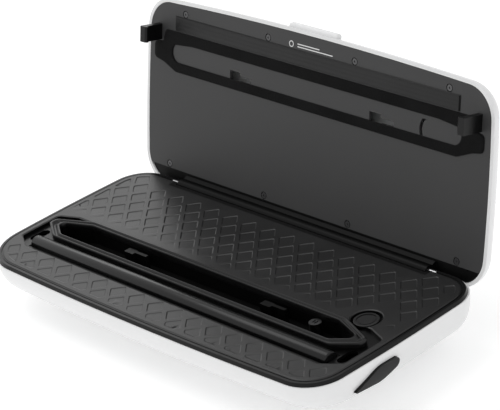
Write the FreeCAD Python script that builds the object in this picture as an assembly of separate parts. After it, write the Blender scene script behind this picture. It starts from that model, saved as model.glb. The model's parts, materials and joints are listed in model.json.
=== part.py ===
"""Countertop vacuum sealer, lid open: one STEP file for each separate piece, in millimetres.

X runs along the seal bar, Y from the front edge to the hinge, and Z up from the floor.
Pieces are laid out in a working frame with y = 0 at the deck's back edge and z = 0 at the plane where the
black deck meets the white housing. Lid pieces are laid out closed, then turned open about the hinge.
export() moves everything so that the origin is under the middle of the open sealer, on the floor.
"""

import FreeCAD, Part

import math
import os

from FreeCAD import Vector

X_AXIS = Vector(1, 0, 0)
Z_AXIS = Vector(0, 0, 1)
SIDES = (-1, 1)
SLIP = 0.1  # gap beside a piece that is dropped into its seat

# Base outline, seen from above
BASE_HALF_WIDTH = 200.0
BASE_DEPTH = 185.0
FRONT_CORNER_R = 30.5
LEFT_CORNER_EXTRA = 13.0  # the front left corner is rounder than the right one
BACK_CORNER_R = 28.8
FRONT_BOW = 4.75  # how far the front edge swells past its ends
SIDE_BOW = 2.43

# Heights in the working frame
RIM_HEIGHT = 46.0  # floor to the deck's underside rim
DECK_T = 2.8
DECK_WALL_LEAN = 1.2  # how far the deck's edge wall leans in, from bottom to top
EDGE_LINE_IN = 3.4
EDGE_LINE_W = 0.8
EDGE_LINE_DEPTH = 0.5
FLOOR_T = 2.4  # deck floor under the recess, from z = 0 down
TRAY_DEPTH = 24.0  # the housing's curved upper tray
PLINTH_BOTTOM = -44.0
WALL = 2.4

# Housing
RIM_OUTSET = 0.9
TRAY_FRONT_ROUND = 14.0
TRAY_SIDE_ROUND = 7.6
TRAY_BACK_ROUND = 6.0
PLINTH_CORNERS = ((160.0, -150.0), (171.0, -5.2))  # front and back corner, right side
PLINTH_TOP = -14.0
PLINTH_CORNER_R = 30.0
PLINTH_EDGE_R = 6.0
HOUSING_SCREWS = ((-100, -160), (0, -160), (100, -160), (-125, -22), (0, -22), (125, -22))
POST_R = 4.5
SCREW_R = 1.5
SCREW_HEAD_R = 2.8
SCREW_TIP_Z = 1.7
FEET = ((-150, -40), (150, -40), (-140, -125), (140, -125))
FOOT_R = 8.0
FOOT_SEAT = 0.8

# Hinge and lid
LID_OPEN_ANGLE = 103.74
HINGE_Y = -2.86
HINGE_Z = 1.05
BARREL_R = 4.2
BARREL_HALF = 144.6
HINGE_PIN_R = 2.0
PIN_LENGTH = 13.0
PIN_IN_BARREL = 5.2
PIN_CLEARANCE = 0.05
CUTOUT_HALF = 145.4
CUTOUT_Y = -8.0
CUTOUT_Z = -5.4
LID_Z = 7.5  # underside of the closed lid
LID_HALF_WIDTH = 197.6
LID_FRONT_Y = -161.3
LID_BACK_Y = 4.4
LID_CORNER_R = 28.0
LID_T = 16.5
LID_ROUND = 19.0
LID_WALL = 2.2
LID_RIM = 3.0
PLATE_T = 2.2
PLATE_BACK_Y = -11.4
BAND_RECESS = 1.2
BAND_T = 1.8
TAB_HALF = 28.5
TAB_OUT = 3.0
LID_SCREWS_HALF = ((150, -147.6), (49.3, -147.6), (166.5, -14.9), (48.7, -14.9))
LID_SCREWS = tuple((s * x, y) for s in SIDES for x, y in LID_SCREWS_HALF)

# Recess, seal bar, gasket and trough
RECESS_R = 4.0
RECESS_HALF = ((172.0, -150.5), (189.5, -140.0), (189.5, -100.5), (171.0, -93.8))
BAR_Y = -138.0
BAR_HALF_LENGTH = 173.5
BAR_HALF_WIDTH = 6.8
BAR_TOP = 6.2
BAR_BOTTOM = -4.8
CARRIER_WALL = 1.2
GASKET_OUTER = ((162.0, -129.4), (183.0, -115.4), (183.0, -108.6), (148.0, -94.8))
GASKET_INNER = ((157.0, -124.0), (171.0, -114.8), (171.0, -109.2), (145.0, -100.0))
GASKET_R = (9.0, 4.2, 4.2, 9.0)
GASKET_TOP = 6.2
GASKET_GROOVE = 4.2
GASKET_LIP = 1.6
TROUGH_BOTTOM = -12.6
TROUGH_WALL = 1.6
POST_TOP = 2.0
L_POSTS = ((-92.6, -82.3, -69.0), (68.4, 79.3, 93.0))  # block from, block to, arm end
PORT_XY = (124.5, -106.4)
PORT_R = 5.0
SPIGOT_R = 3.2
SPIGOT_LENGTH = 4.5
TUBE_BEND_RUN = 9.0

# Latches: hooks on the lid, holes in the deck floor, sliders and side buttons in the base
HOOK_X = (179.5, 184.5)
HOOK_Y = (-134.5, -121.0)
HOOK_LENGTH = 20.0
BARB_X = 177.2
BARB_T = 3.0
HOLE_X = (176.7, 185.3)
HOLE_Y = (-138.0, -119.0)
BUTTON_TRAVEL = 2.5
SLIDER_Z = (-9.2, -7.4)
BUTTON_BACK_X = 191.0
BUTTON_OUT = 2.4
BUTTON_GAP = 0.4
FLANGE_T = 1.4
BUTTON_SHAPE = (
    (-144.5, -18.0, 0.8), (-118.0, -6.8, 26.0), (-96.5, -7.6, 3.6),
    (-99.0, -15.0, 5.0), (-116.0, -20.6, 24.0),
)  # y, z and corner radius of the side button's outline
SPRING_X = (178.4, BUTTON_BACK_X)
SPRING_Y = -111.5
SPRING_Z = -15.5
SPRING_R = 2.4
SPRING_WIRE_R = 0.3
SPRING_TURNS = 6

# Round release button on the deck
DECK_BUTTON_XY = (157.5, -84.5)
WELL_R = 12.2
WELL_FLOOR = -1.2
DECK_BUTTON_R = 10.2
DECK_BUTTON_Z = (1.0, 2.6)
STEM_R = 4.0
RING_SPRING_R = 8.6
RING_SPRING_T = 0.3
FINGER_LENGTH = 8.0
VALVE_R = 7.0

# Controls on the lid's outer face
PANEL_X = 58.0
PANEL_Y = (-136.0, -112.0)
PANEL_T = 1.2
KEY_X = (-36.0, 0.0, 36.0)
KEY_NAMES = ("seal_key", "vacuum_key", "stop_key")
KEY_Y = -122.0
KEY_R = 7.0
KEY_PROUD = 0.9
KEY_GAP = 0.35
LAMP_R = 1.2
LAMP_Y = -132.5

# Machinery in the plinth
PUMP_X = (-36.0, 18.0)
PUMP_Y = -66.0
PUMP_Z = -27.0
MOTOR_R = 13.5
HEAD_SIZE = 29.0
PCB_CORNER = (62.0, -62.0)
PCB_SIZE = (86.0, 34.0)
SUPPLY_CORNER = (-150.0, -95.0)
SUPPLY_SIZE = (80.0, 42.0, 22.0)
INLET_X = -105.0
INLET_Z = -32.5
INLET_SIZE = (21.0, 13.0)
INLET_DEPTH = 18.0
INLET_FLANGE = 1.5
INLET_FLANGE_T = 1.5
INLET_MOUTH = (15.0, 8.0)
INLET_MOUTH_DEPTH = 15.0
INLET_PIN_X = 4.3
INLET_PIN_R = 1.2
INLET_PIN_LENGTH = 12.0


def box(x0, x1, y0, y1, z0, z1):
    corner = Vector(min(x0, x1), min(y0, y1), min(z0, z1))
    return Part.makeBox(abs(x1 - x0), abs(y1 - y0), abs(z1 - z0), corner)


def disc(x, y, r, z0, z1):
    return Part.makeCylinder(r, z1 - z0, Vector(x, y, z0))


def mirrored(shape):
    return shape.mirror(Vector(0, 0, 0), X_AXIS)


def fused(shapes):
    return shapes[0].multiFuse(shapes[1:]).removeSplitter()


def arc_through(a, b, c):
    return Part.Arc(a, b, c).toShape()


def beyond(centre, point, distance):
    """The point at this distance from the centre, in the direction of the other point."""
    return centre + (point - centre).normalize() * distance


def corner_middle(corner_centre, a, b, r):
    return corner_centre + ((a + b) * 0.5 - corner_centre).normalize() * r


def circles_meet(c1, r1, c2, r2):
    """Where two circles cross, on the right and nearer the front."""
    gap = c2 - c1
    d = gap.Length
    along = (r1 * r1 - r2 * r2 + d * d) / (2 * d)
    off = math.sqrt(r1 * r1 - along * along)
    unit = gap * (1 / d)
    side = Vector(-unit.y, unit.x, 0)
    found = (c1 + unit * along + side * off, c1 + unit * along - side * off)
    return min(found, key=lambda p: p.y)


def bowed_side(half_width, front_y, back_y, front_r, back_r, z):
    """The right side of a bowed outline: its front corner, side and back corner, each as three points of an arc."""
    mid_y = (front_y + back_y) / 2
    front_arc = half_width ** 2 / (2 * FRONT_BOW)
    side_arc = ((back_y - front_y) / 2) ** 2 / (2 * SIDE_BOW)
    front_c = Vector(0, front_y + front_arc, z)
    side_c = Vector(half_width - side_arc, mid_y, z)
    corner = circles_meet(front_c, front_arc - front_r, side_c, side_arc - front_r)
    back_corner_y = back_y - back_r
    reach = math.sqrt((side_arc - back_r) ** 2 - (back_corner_y - mid_y) ** 2)
    back_corner = Vector(side_c.x + reach, back_corner_y, z)
    a = beyond(front_c, corner, front_arc)
    b = beyond(side_c, corner, side_arc)
    c = beyond(side_c, back_corner, side_arc)
    d = Vector(back_corner.x, back_y, z)
    return [
        (a, corner_middle(corner, a, b, front_r), b),
        (b, Vector(half_width, mid_y, z), c),
        (c, corner_middle(back_corner, c, d, back_r), d),
    ]


def bowed_outline(half_width, front_y, back_y, front_r, back_r, z, left_extra=0.0):
    """A wide rounded rectangle whose front edge and sides swell a little, every corner a tangent arc."""
    right = bowed_side(half_width, front_y, back_y, front_r, back_r, z)
    left = bowed_side(half_width, front_y, back_y, front_r + left_extra, back_r, z)
    left = [tuple(Vector(-p.x, p.y, p.z) for p in points) for points in left]
    edges = [arc_through(left[0][0], Vector(0, front_y, z), right[0][0])]
    edges += [arc_through(*points) for points in right]
    edges.append(Part.makeLine(right[-1][2], left[-1][2]))
    edges += [arc_through(*points[::-1]) for points in reversed(left)]
    return Part.Wire(edges)


def rounded_polygon(points, radii, z=0.0):
    """A closed wire round the points, each corner an arc of its own radius."""
    corners = [Vector(x, y, z) for x, y in points]
    n = len(corners)
    ends = []
    for i, p in enumerate(corners):
        u = (corners[i - 1] - p).normalize()
        v = (corners[(i + 1) % n] - p).normalize()
        half = u.getAngle(v) / 2
        run = radii[i] / math.tan(half)
        middle = p + (u + v).normalize() * (radii[i] / math.sin(half) - radii[i])
        ends.append((p + u * run, middle, p + v * run))
    edges = []
    for i, (a, m, b) in enumerate(ends):
        edges.append(arc_through(a, m, b))
        start = ends[(i + 1) % n][0]
        if (start - b).Length > 1e-6:
            edges.append(Part.makeLine(b, start))
    return Part.Wire(edges)


def both_halves(right_half):
    """A symmetric outline's points, from those of its right half in order from the front to the back."""
    left = [(-x, y) for x, y in reversed(right_half)]
    return list(right_half) + left


def prism(wire, height):
    return Part.Face(wire).extrude(Vector(0, 0, height))


def plate(points, radius, z0, z1, grow=0.0):
    """A flat-bottomed block with rounded corners, all of one radius or each of its own."""
    radii = [radius] * len(points) if isinstance(radius, float) else list(radius)
    wire = rounded_polygon(points, radii, z0)
    if grow:
        wire = wire.makeOffset2D(grow)
    return prism(wire, z1 - z0)


def lofted(wires):
    return Part.makeLoft(wires, True, False)


QUARTER = tuple(math.radians(a) for a in (0, 15, 30, 45, 60, 75, 90))


def tray_solid(grow, depth):
    """The housing's upper tray: its wall curves under to a flat bottom."""
    wires = []
    for a in QUARTER:
        under = 1 - math.cos(a)
        wires.append(bowed_outline(
            BASE_HALF_WIDTH + RIM_OUTSET + grow - TRAY_SIDE_ROUND * under,
            -BASE_DEPTH - RIM_OUTSET - grow + TRAY_FRONT_ROUND * under,
            RIM_OUTSET + grow - TRAY_BACK_ROUND * under,
            FRONT_CORNER_R + grow, BACK_CORNER_R + grow, -depth * math.sin(a), LEFT_CORNER_EXTRA,
        ))
    return lofted(wires)


def plinth_solid(grow, bottom):
    """The deeper box under the middle and back, which holds the pump and electronics."""
    levels = [(PLINTH_TOP, -4.0), (bottom + PLINTH_EDGE_R, 0.0)]
    for a in (30, 60, 90):
        turn = math.radians(a)
        levels.append((bottom + PLINTH_EDGE_R * (1 - math.sin(turn)), PLINTH_EDGE_R * (1 - math.cos(turn))))
    wires = []
    (front_x, front_y), (back_x, back_y) = PLINTH_CORNERS
    for z, inset in levels:
        back_inset = max(inset, 0.0)
        front = (front_x - inset + grow, front_y + inset - grow)
        back = (back_x - inset + grow, back_y - back_inset + grow)
        wires.append(rounded_polygon(both_halves((front, back)), [PLINTH_CORNER_R] * 4, z))
    return Part.makeLoft(wires, True, True)


def lid_solid(inset, height):
    """The closed lid's dome: a flat top with a wide elliptical round down to its rim."""
    wires = []
    for a in QUARTER:
        over = LID_ROUND * (1 - math.cos(a))
        corner = max(LID_CORNER_R - inset - over, 8.0)
        wires.append(bowed_outline(
            LID_HALF_WIDTH - inset - over, LID_FRONT_Y + inset + over, LID_BACK_Y - inset - over,
            corner, corner, LID_Z + height * math.sin(a),
        ))
    return lofted(wires)


def turned_open(shape):
    opened = shape.copy()
    opened.rotate(Vector(0, HINGE_Y, HINGE_Z), X_AXIS, -LID_OPEN_ANGLE)
    return opened


def release_outline(x, grow=0.0):
    """The side button's leaf shape, standing in the YZ plane at x."""
    points = [(y, z) for y, z, r in BUTTON_SHAPE]
    wire = rounded_polygon(points, [r for y, z, r in BUTTON_SHAPE])
    if grow:
        wire = wire.makeOffset2D(grow)
    wire.rotate(Vector(0, 0, 0), Vector(1, 1, 1), 120)
    wire.translate(Vector(x, 0, 0))
    return wire


def release_prism(x0, x1, grow=0.0):
    return Part.Face(release_outline(x0, grow)).extrude(Vector(x1 - x0, 0, 0))


def housing_parts():
    """The white housing's two mouldings: the curved tray above, and the deep pan screwed under it."""
    deep = plinth_solid(-WALL, PLINTH_BOTTOM + WALL)
    tray = tray_solid(0, TRAY_DEPTH).cut([tray_solid(-WALL, TRAY_DEPTH - WALL), deep])
    upper = box(-250, 250, -250, 50, -TRAY_DEPTH - SLIP / 2, 50)
    pan = plinth_solid(0, PLINTH_BOTTOM).cut([deep, upper])
    posts = {True: [], False: []}
    cuts = [box(-CUTOUT_HALF, CUTOUT_HALF, CUTOUT_Y, 5, CUTOUT_Z, 1)]
    for x, y in HOUSING_SCREWS:
        in_tray = floor_z(y) == -TRAY_DEPTH
        posts[in_tray].append(disc(x, y, POST_R, floor_z(y) + WALL / 2, -FLOOR_T - SLIP))
        cuts.append(disc(x, y, SCREW_R + SLIP, -60, 5))
        cuts.append(disc(x, y, SCREW_HEAD_R + SLIP, -60, screw_seat(y)))
    stops = [box(s * 174.4, s * 178.2, -115, -108, -23, -11.5) for s in SIDES]
    hole = release_prism(BUTTON_BACK_X, 210, BUTTON_GAP)
    cuts += [hole, mirrored(hole)]
    half_w, half_h = INLET_SIZE[0] / 2 + SLIP, INLET_SIZE[1] / 2 + SLIP
    cuts.append(box(INLET_X - half_w, INLET_X + half_w, -9, 3, INLET_Z - half_h, INLET_Z + half_h))
    cuts += [disc(x, y, FOOT_R + SLIP, PLINTH_BOTTOM - 1, PLINTH_BOTTOM + FOOT_SEAT) for x, y in FEET]
    cuts += [turn(pin_rod(HINGE_PIN_R + SLIP)) for turn in (Part.Shape.copy, mirrored)]
    return [fused([tray] + posts[True] + stops).cut(cuts), fused([pan] + posts[False]).cut(cuts)]


def pin_rod(r):
    """A rod of this radius where the right hinge pin goes."""
    return Part.makeCylinder(r, PIN_LENGTH, Vector(CUTOUT_HALF - PIN_IN_BARREL, HINGE_Y, HINGE_Z), X_AXIS)


def floor_z(y):
    """Underside of the housing where a screw post stands: the tray in front, the plinth behind."""
    return -TRAY_DEPTH if y < PLINTH_CORNERS[0][1] else PLINTH_BOTTOM


def screw_seat(y):
    return floor_z(y) + 5.0


def deck_outline(inset, z):
    """The deck's outline, this far in from its bottom edge."""
    return bowed_outline(
        BASE_HALF_WIDTH - inset, -BASE_DEPTH + inset, -inset,
        FRONT_CORNER_R - inset, BACK_CORNER_R - inset, z, LEFT_CORNER_EXTRA,
    )


def deck_plate():
    """Black top: a plate with a recess for the seal bar and gasket, a hinge cut-out and a round button well."""
    slab = lofted([deck_outline(0.0, 0.0), deck_outline(DECK_WALL_LEAN, DECK_T)])
    groove = prism(deck_outline(EDGE_LINE_IN, DECK_T - EDGE_LINE_DEPTH), 2)
    land = prism(deck_outline(EDGE_LINE_IN + EDGE_LINE_W, DECK_T - EDGE_LINE_DEPTH - SLIP), 3)
    recess = both_halves(RECESS_HALF)
    x, y = DECK_BUTTON_XY
    adds = [
        plate(recess, RECESS_R, -FLOOR_T, 1, 2.0),
        disc(x, y, WELL_R + 1.4, -FLOOR_T, 1),
        box(-CUTOUT_HALF - 1.5, CUTOUT_HALF + 1.5, CUTOUT_Y - 1.6, CUTOUT_Y, CUTOUT_Z - 1.4, 1),
        box(-CUTOUT_HALF - 1.5, CUTOUT_HALF + 1.5, CUTOUT_Y - 1.6, -2.2, CUTOUT_Z - 1.4, CUTOUT_Z),
    ]
    for s in SIDES:
        adds.append(box(s * CUTOUT_HALF, s * (CUTOUT_HALF + 8), CUTOUT_Y - 1.6, -2.2, CUTOUT_Z - 1.4, 1))
    adds += [disc(sx, sy, 3.4, -FLOOR_T, 1) for sx, sy in HOUSING_SCREWS]
    deck = fused([slab] + adds)
    trough_hole = plate(both_halves(GASKET_INNER), GASKET_R * 2, -20, 1, TROUGH_WALL + SLIP)
    carrier_half = BAR_HALF_WIDTH + CARRIER_WALL + SLIP
    cuts = [
        groove.cut(land),
        box(-CUTOUT_HALF, CUTOUT_HALF, CUTOUT_Y, 5, CUTOUT_Z, DECK_T + 1),
        plate(recess, RECESS_R, 0, DECK_T + 1),
        trough_hole,
        box(-175.0, 175.0, BAR_Y - carrier_half, BAR_Y + carrier_half, -5, 1),
        disc(x, y, WELL_R, WELL_FLOOR, DECK_T + 1),
        disc(x, y, STEM_R + 0.3, -10, DECK_T),
    ]
    cuts += [disc(sx, sy, SCREW_R, -FLOOR_T - 1, SCREW_TIP_Z + SLIP) for sx, sy in HOUSING_SCREWS]
    for s in SIDES:
        cuts.append(latch_hole(s))
        pin_hole = Part.makeCylinder(HINGE_PIN_R, 8, Vector(CUTOUT_HALF, HINGE_Y, HINGE_Z), X_AXIS)
        cuts.append(pin_hole if s > 0 else mirrored(pin_hole))
    return deck.cut(cuts)


def latch_hole(s):
    r = (HOLE_X[1] - HOLE_X[0]) / 2 - 0.01
    points = [(HOLE_X[0], HOLE_Y[0]), (HOLE_X[1], HOLE_Y[0]), (HOLE_X[1], HOLE_Y[1]), (HOLE_X[0], HOLE_Y[1])]
    hole = plate(points, r, -FLOOR_T - 1, 1)
    return hole if s > 0 else mirrored(hole)


def drip_tray():
    """Vacuum trough: a narrow tub with two L-shaped bag stops."""
    points = both_halves(GASKET_INNER)
    outer = plate(points, GASKET_R * 2, TROUGH_BOTTOM, -0.05, TROUGH_WALL)
    tub = outer.cut(plate(points, GASKET_R * 2, TROUGH_BOTTOM + TROUGH_WALL, 1))
    adds = []
    for x0, x1, arm in L_POSTS:
        adds.append(box(x0, x1, -111.0, -104.8, TROUGH_BOTTOM + 1, POST_TOP))
        adds.append(box(x0, arm, -108.2, -105.3, TROUGH_BOTTOM + 1, POST_TOP))
    tub = fused([tub] + adds)
    return tub.cut(disc(*PORT_XY, SPIGOT_R + SLIP, TROUGH_BOTTOM - 1, 0))


def chamber_gasket():
    outer = both_halves(GASKET_OUTER)
    inner = both_halves(GASKET_INNER)
    ring = plate(outer, GASKET_R * 2, 0, GASKET_TOP).cut(plate(inner, GASKET_R * 2, -1, GASKET_TOP + 1))
    channel = plate(outer, GASKET_R * 2, GASKET_GROOVE, GASKET_TOP + 1, -GASKET_LIP)
    channel = channel.cut(plate(inner, GASKET_R * 2, GASKET_GROOVE - 1, GASKET_TOP + 2, GASKET_LIP))
    return ring.cut(channel)


def bar_section(half_width, bottom, crown_z):
    """Section of the seal bar in the YZ plane: straight sides and a half-round top."""
    a = Vector(0, BAR_Y - half_width, bottom)
    b = Vector(0, BAR_Y - half_width, crown_z)
    top = Vector(0, BAR_Y, crown_z + half_width)
    c = Vector(0, BAR_Y + half_width, crown_z)
    d = Vector(0, BAR_Y + half_width, bottom)
    return Part.Wire([Part.makeLine(a, b), arc_through(b, top, c), Part.makeLine(c, d), Part.makeLine(d, a)])


def seal_bar():
    section = bar_section(BAR_HALF_WIDTH, BAR_BOTTOM, BAR_TOP - BAR_HALF_WIDTH)
    section.translate(Vector(-BAR_HALF_LENGTH, 0, 0))
    return Part.Face(section).extrude(Vector(2 * BAR_HALF_LENGTH, 0, 0))


def seal_bar_carrier():
    half = BAR_HALF_WIDTH + CARRIER_WALL
    length = BAR_HALF_LENGTH + CARRIER_WALL
    outer = box(-length, length, BAR_Y - half, BAR_Y + half, BAR_BOTTOM - CARRIER_WALL, -0.6)
    inner = box(-BAR_HALF_LENGTH, BAR_HALF_LENGTH, BAR_Y - BAR_HALF_WIDTH, BAR_Y + BAR_HALF_WIDTH, BAR_BOTTOM, 1)
    return outer.cut(inner)


def suction_port():
    """Nozzle that draws the air out: a capped collar with two slots, and a spigot for the tube."""
    x, y = PORT_XY
    floor = TROUGH_BOTTOM + TROUGH_WALL
    body = fused([disc(x, y, PORT_R, floor, 1.0), disc(x, y, SPIGOT_R, TROUGH_BOTTOM - SPIGOT_LENGTH, floor + 1)])
    cuts = [disc(x, y, 2.0, -40, -0.4)]
    cuts += [box(x + s * 0.6, x + s * 1.9, y - 1.8, y + 1.8, -2, 2) for s in SIDES]
    return body.cut(cuts)


def vacuum_tube():
    """Silicone tube from the suction port down and across to the pump head, in straight runs and arcs."""
    x, y = PORT_XY
    outer_r, inner_r, bend = 4.6, SPIGOT_R + 0.03, 14.0
    top = Vector(x, y, TROUGH_BOTTOM - 1)
    head = Vector(PUMP_X[1] + HEAD_SIZE, PUMP_Y, PUMP_Z)
    corner = Vector(x, y, PUMP_Z)
    turn = Vector(x - 40, PUMP_Y, PUMP_Z)
    points = [top, corner, turn, head]
    edges = []
    start = points[0]
    for i in (1, 2):
        p = points[i]
        u = (points[i - 1] - p).normalize()
        v = (points[i + 1] - p).normalize()
        half = u.getAngle(v) / 2
        radius = bend if i == 1 else 30.0
        run = min(radius / math.tan(half), TUBE_BEND_RUN)
        radius = run * math.tan(half)
        a, b = p + u * run, p + v * run
        middle = p + (u + v).normalize() * (radius / math.sin(half) - radius)
        edges += [Part.makeLine(start, a), arc_through(a, middle, b)]
        start = b
    edges.append(Part.makeLine(start, head))
    path = Part.Wire(edges)
    rings = [Part.Wire(Part.makeCircle(r, top, Z_AXIS)) for r in (outer_r, inner_r)]
    tube, core = (path.makePipeShell([ring], True, False) for ring in rings)
    return tube.cut(core)


def pump_motor():
    x0, x1 = PUMP_X
    can = Part.makeCylinder(MOTOR_R, x1 - x0, Vector(x0, PUMP_Y, PUMP_Z), X_AXIS)
    boss = Part.makeCylinder(5, 3, Vector(x0 - 3, PUMP_Y, PUMP_Z), X_AXIS)
    return fused([can, boss])


def pump_head():
    x = PUMP_X[1]
    half = HEAD_SIZE / 2
    block = box(x, x + 22, PUMP_Y - half, PUMP_Y + half, PUMP_Z - half + 0.4, PUMP_Z + half)
    block = block.makeFillet(2.5, [e for e in block.Edges if abs(e.BoundBox.XLength - 22) < 0.1])
    nozzle = Part.makeCylinder(SPIGOT_R, 16, Vector(x + 21, PUMP_Y, PUMP_Z), X_AXIS)
    bore = Part.makeCylinder(1.6, 20, Vector(x + 19, PUMP_Y, PUMP_Z), X_AXIS)
    return fused([block, nozzle]).cut(bore)


def pump_bracket():
    """Saddle that holds the motor to the housing floor."""
    x = (PUMP_X[0] + PUMP_X[1]) / 2
    floor = PLINTH_BOTTOM + WALL
    foot = box(x - 7, x + 7, PUMP_Y - 24, PUMP_Y + 24, floor, floor + 1.6)
    cheek = box(x - 7, x + 7, PUMP_Y - 15.2, PUMP_Y + 15.2, floor, PUMP_Z)
    strap = Part.makeCylinder(MOTOR_R + 1.7, 14, Vector(x - 7, PUMP_Y, PUMP_Z), X_AXIS)
    seat = Part.makeCylinder(MOTOR_R + 0.02, 20, Vector(x - 10, PUMP_Y, PUMP_Z), X_AXIS)
    screws = [disc(x, PUMP_Y + s * 20, 1.8, floor - 1, floor + 3) for s in SIDES]
    below = box(x - 10, x + 10, PUMP_Y - 30, PUMP_Y + 30, floor - 5, floor)
    return fused([foot, cheek, strap]).cut([seat, below] + screws)


def board(corner, size, z, parts):
    """A circuit board with its tall components, each given as x, y, width, depth and height on the board."""
    x0, y0 = corner
    pieces = [box(x0, x0 + size[0], y0, y0 + size[1], z, z + 1.6)]
    for dx, dy, w, d, h in parts:
        pieces.append(box(x0 + dx, x0 + dx + w, y0 + dy, y0 + dy + d, z + 1, z + 1.6 + h))
    return fused(pieces)


def main_pcb():
    parts = ((6, 4, 18, 10, 8), (30, 4, 8, 8, 9), (42, 4, 8, 8, 9), (60, 5, 20, 12, 6), (8, 19, 24, 12, 4),
             (42, 18, 12, 12, 2), (62, 21, 16, 8, 5))
    return board(PCB_CORNER, PCB_SIZE, PLINTH_BOTTOM + WALL + 0.02, parts)


def power_supply():
    """Enclosed supply block with a raised transformer and a connector."""
    x0, y0 = SUPPLY_CORNER
    w, d, h = SUPPLY_SIZE
    z = PLINTH_BOTTOM + WALL
    case = box(x0, x0 + w, y0, y0 + d, z, z + h)
    case = case.makeFillet(2, [e for e in case.Edges if abs(e.BoundBox.ZLength - h) < 0.1])
    vents = [box(x0 + 10 + 6 * i, x0 + 12 + 6 * i, y0 + 8, y0 + d - 8, z + h - 1, z + h + 1) for i in range(10)]
    return case.cut(vents)


def power_inlet():
    """Two-pin mains socket in the plinth's back wall. The lead that fits it isn't part of the sealer."""
    w, h = INLET_SIZE
    mouth_w, mouth_h = INLET_MOUTH
    back = PLINTH_CORNERS[1][1]

    def block(grow, y0, y1):
        half_w, half_h = w / 2 + grow, h / 2 + grow
        return box(INLET_X - half_w, INLET_X + half_w, y0, y1, INLET_Z - half_h, INLET_Z + half_h)

    socket = fused([block(0, back - INLET_DEPTH, back), block(INLET_FLANGE, back, back + INLET_FLANGE_T)])
    points = [(INLET_X + i * mouth_w / 2, INLET_Z + k * mouth_h / 2) for i, k in ((-1, -1), (1, -1), (1, 1), (-1, 1))]
    mouth = rounded_polygon(points, [mouth_h / 2 - 0.1] * 4)
    mouth.rotate(Vector(0, 0, 0), X_AXIS, 90)
    mouth.translate(Vector(0, back + 2 * INLET_FLANGE_T, 0))
    cavity = Part.Face(mouth).extrude(Vector(0, -INLET_MOUTH_DEPTH, 0))
    pin_at = [Vector(INLET_X + s * INLET_PIN_X, back - INLET_MOUTH_DEPTH + 2, INLET_Z) for s in SIDES]
    pins = [Part.makeCylinder(INLET_PIN_R, INLET_PIN_LENGTH, p, Vector(0, 1, 0)) for p in pin_at]
    return fused([socket.cut(cavity)] + pins)


def feet():
    return [disc(x, y, FOOT_R, -RIM_HEIGHT, PLINTH_BOTTOM + FOOT_SEAT) for x, y in FEET]


def housing_screws():
    made = []
    for x, y in HOUSING_SCREWS:
        seat = screw_seat(y)
        head = disc(x, y, SCREW_HEAD_R, seat - 2, seat)
        shank = disc(x, y, SCREW_R - 0.02, seat - 1, SCREW_TIP_Z)
        slots = [box(x - 1.6, x + 1.6, y - 0.4, y + 0.4, seat - 3, seat - 1.2),
                 box(x - 0.4, x + 0.4, y - 1.6, y + 1.6, seat - 3, seat - 1.2)]
        made.append(fused([head, shank]).cut(slots))
    return made


def hinge_pins():
    pin = pin_rod(HINGE_PIN_R - 0.01)
    return [pin, mirrored(pin)]


def latch_switches():
    """Small switches under the latch holes, which tell the electronics that the lid is locked."""
    base = -TRAY_DEPTH + WALL + 0.1
    body = box(178, 184.5, -134, -121, base, -15.4)
    lever = box(180, 182.5, -133, -122, -15.6, -14.8)
    switch = fused([body, lever])
    return [switch, mirrored(switch)]


def release_valve():
    """Air valve under the round button, with a side nipple."""
    x, y = DECK_BUTTON_XY
    body = disc(x, y, VALVE_R, -24.0, -14.0)
    nipple = Part.makeCylinder(2.0, 8, Vector(x - VALVE_R - 7, y, -19), X_AXIS)
    return fused([body, nipple])


def deck_button():
    """Round push button: a dished cap with a raised ring, on a stem."""
    x, y = DECK_BUTTON_XY
    low, high = DECK_BUTTON_Z
    cap = disc(x, y, DECK_BUTTON_R, low, high)
    cap = cap.makeFillet(0.6, [e for e in cap.Edges if e.BoundBox.ZMin > high - 0.01])
    dish = disc(x, y, 8.0, high - 0.7, high + 1).cut(disc(x, y, 6.6, high - 1, high + 2))
    stem = disc(x, y, STEM_R, -11.0, low + 0.5)
    return fused([cap, stem]).cut([dish, disc(x, y, 6.6, high - 0.35, high + 1)])


def coil(radius, wire_r, length, turns):
    """A compression spring standing on the origin, along +Z."""
    pitch = length / turns
    path = Part.makeHelix(pitch, length, radius)
    ring = Part.Wire(Part.makeCircle(wire_r, Vector(radius, 0, 0), Vector(0, 1, pitch / (2 * math.pi * radius))))
    return Part.Wire(path).makePipeShell([ring], True, True)


def deck_button_spring():
    """Flat ring on the well's floor with three slanted fingers that push the cap up."""
    x, y = DECK_BUTTON_XY
    low = WELL_FLOOR + 0.02
    rise = DECK_BUTTON_Z[0] - low - RING_SPRING_T - 2 * SLIP
    slope = math.degrees(math.asin(rise / FINGER_LENGTH))
    ring = disc(x, y, RING_SPRING_R, low, low + RING_SPRING_T).cut(disc(x, y, STEM_R + 0.6, low - 1, low + 1))
    made = [ring]
    for turn in (0, 120, 240):
        finger = box(0, FINGER_LENGTH, -1, 1, 0, RING_SPRING_T)
        finger.rotate(Vector(0, 0, 0), Vector(0, 1, 0), -slope)
        finger.translate(Vector(x - 4, y + (STEM_R + RING_SPRING_R) / 2 + 0.6, low + 0.05))
        finger.rotate(Vector(x, y, 0), Z_AXIS, turn)
        made.append(finger)
    return fused(made)


def release_spring():
    length = SPRING_X[1] - SPRING_X[0] - 2 * SPRING_WIRE_R - 0.2
    spring = coil(SPRING_R, SPRING_WIRE_R, length, SPRING_TURNS)
    spring.rotate(Vector(0, 0, 0), Vector(0, 1, 0), 90)
    spring.translate(Vector(SPRING_X[0] + SPRING_WIRE_R + 0.1, SPRING_Y, SPRING_Z))
    return spring


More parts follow.
